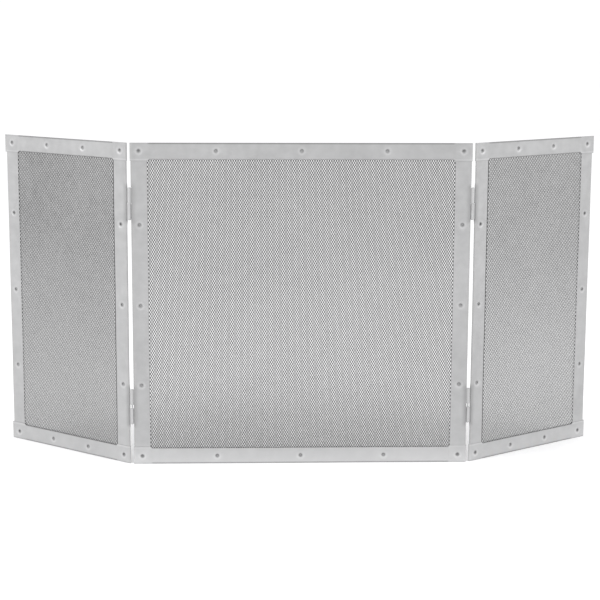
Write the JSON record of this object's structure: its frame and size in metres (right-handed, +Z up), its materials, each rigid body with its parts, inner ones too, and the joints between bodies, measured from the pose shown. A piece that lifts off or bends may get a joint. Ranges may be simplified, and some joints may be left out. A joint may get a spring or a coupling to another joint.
{
  "type": "fireplace screen",
  "caption": "Folding fireplace screen: a wide mesh panel with a half-width wing hinged at each side, framed in riveted folded strip, standing on its lower edges.",
  "frame": {"origin": "under the middle of the centre panel's bottom rail, at floor level, half way through its thickness", "axes": "+X along the centre panel to the viewer's right, +Y towards the fire, +Z up; the wings fold back towards +Y"},
  "size_m": [0.946, 0.1683, 0.5],
  "materials": {
    "strip_steel": "satin",
    "mesh_steel": "satin",
    "rivet_steel": "satin",
    "hinge_steel": "satin"
  },
  "bodies": {
    "centre_panel": {"centre_top_rail": "strip_steel", "centre_bottom_rail": "strip_steel", "centre_left_stile": "strip_steel", "centre_right_stile": "strip_steel", "centre_mesh": "mesh_steel", "centre_rivets": "rivet_steel", "left_upper_hinge_centre_leaf": "hinge_steel", "left_upper_hinge_pin": "hinge_steel", "left_lower_hinge_centre_leaf": "hinge_steel", "left_lower_hinge_pin": "hinge_steel", "right_upper_hinge_centre_leaf": "hinge_steel", "right_upper_hinge_pin": "hinge_steel", "right_lower_hinge_centre_leaf": "hinge_steel", "right_lower_hinge_pin": "hinge_steel"},
    "left_wing": {"left_wing_top_rail": "strip_steel", "left_wing_bottom_rail": "strip_steel", "left_wing_inner_stile": "strip_steel", "left_wing_outer_stile": "strip_steel", "left_wing_mesh": "mesh_steel", "left_wing_rivets": "rivet_steel", "left_upper_hinge_wing_leaf": "hinge_steel", "left_lower_hinge_wing_leaf": "hinge_steel"},
    "right_wing": {"right_wing_top_rail": "strip_steel", "right_wing_bottom_rail": "strip_steel", "right_wing_inner_stile": "strip_steel", "right_wing_outer_stile": "strip_steel", "right_wing_mesh": "mesh_steel", "right_wing_rivets": "rivet_steel", "right_upper_hinge_wing_leaf": "hinge_steel", "right_lower_hinge_wing_leaf": "hinge_steel"}
  },
  "joints": [
    {"name": "left_wing_fold", "type": "hinge", "parent": "centre_panel", "child": "left_wing", "pos_m": [-0.26154, 0.00184, 0], "axis": [0, 0, -1], "range_deg": [-78.7, 126.3]},
    {"name": "right_wing_fold", "type": "hinge", "parent": "centre_panel", "child": "right_wing", "pos_m": [0.26154, 0.00184, 0], "axis": [0, 0, 1], "range_deg": [-75.4, 129.6]}
  ]
}
